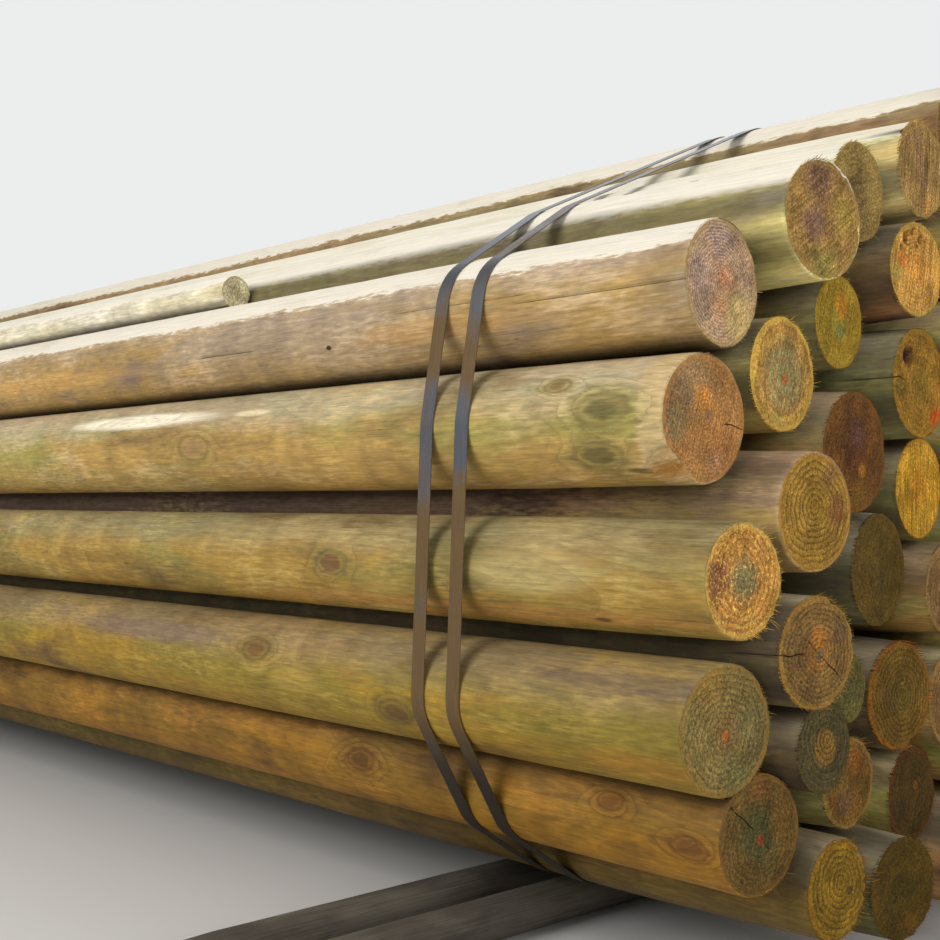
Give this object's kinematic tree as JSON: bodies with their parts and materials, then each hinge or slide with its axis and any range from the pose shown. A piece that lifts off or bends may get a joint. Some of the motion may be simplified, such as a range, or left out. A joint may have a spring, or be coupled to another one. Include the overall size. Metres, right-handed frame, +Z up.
{
  "type": "stack of logs",
  "caption": "Strapped bundle of peeled, treated round pine logs with sawn ends, two steel straps near each end, lying on thin round bearers",
  "frame": {"origin": "centre of the stack's box on the floor, under the bearers", "axes": "+X along the logs to the ends that face the camera, +Y from the open front face to the back, +Z up"},
  "size_m": [3.0506, 1.3394, 0.9481],
  "materials": {
    "treated_pine": "peeled and machine rounded, green and gold treatment tint, sawn ends",
    "weathered_pole": "weathered grey",
    "strap_steel": "blued strapping with brown rust",
    "seal_steel": "crimped, dull zinc"
  },
  "bodies": {
    "root": {"back_1": "treated_pine", "back_2": "treated_pine", "back_3": "treated_pine", "back_4": "treated_pine", "back_5": "treated_pine", "back_6": "treated_pine", "back_7": "treated_pine", "back_8": "treated_pine", "bearer_far_inner": "weathered_pole", "bearer_far_outer": "weathered_pole", "bearer_near_inner": "weathered_pole", "bearer_near_outer": "weathered_pole", "log_01": "treated_pine", "log_02": "treated_pine", "log_03": "treated_pine", "log_04": "treated_pine", "log_05": "treated_pine", "log_06": "treated_pine", "log_07": "treated_pine", "log_08": "treated_pine", "log_09": "treated_pine", "log_10": "treated_pine", "log_11": "treated_pine", "log_12": "treated_pine", "log_13": "treated_pine", "log_14": "treated_pine", "log_15": "treated_pine", "log_16": "treated_pine", "log_17": "treated_pine", "log_18": "treated_pine", "log_19": "treated_pine", "log_20": "treated_pine", "log_21": "treated_pine", "log_22": "treated_pine", "log_23": "treated_pine", "log_24": "treated_pine", "log_25": "treated_pine", "log_26": "treated_pine", "log_27": "treated_pine", "log_28": "treated_pine", "loose_pole": "treated_pine", "seal_far_inner": "seal_steel", "seal_far_outer": "seal_steel", "seal_near_inner": "seal_steel", "seal_near_outer": "seal_steel", "strap_far_inner": "strap_steel", "strap_far_outer": "strap_steel", "strap_near_inner": "strap_steel", "strap_near_outer": "strap_steel"}
  },
  "joints": []
}
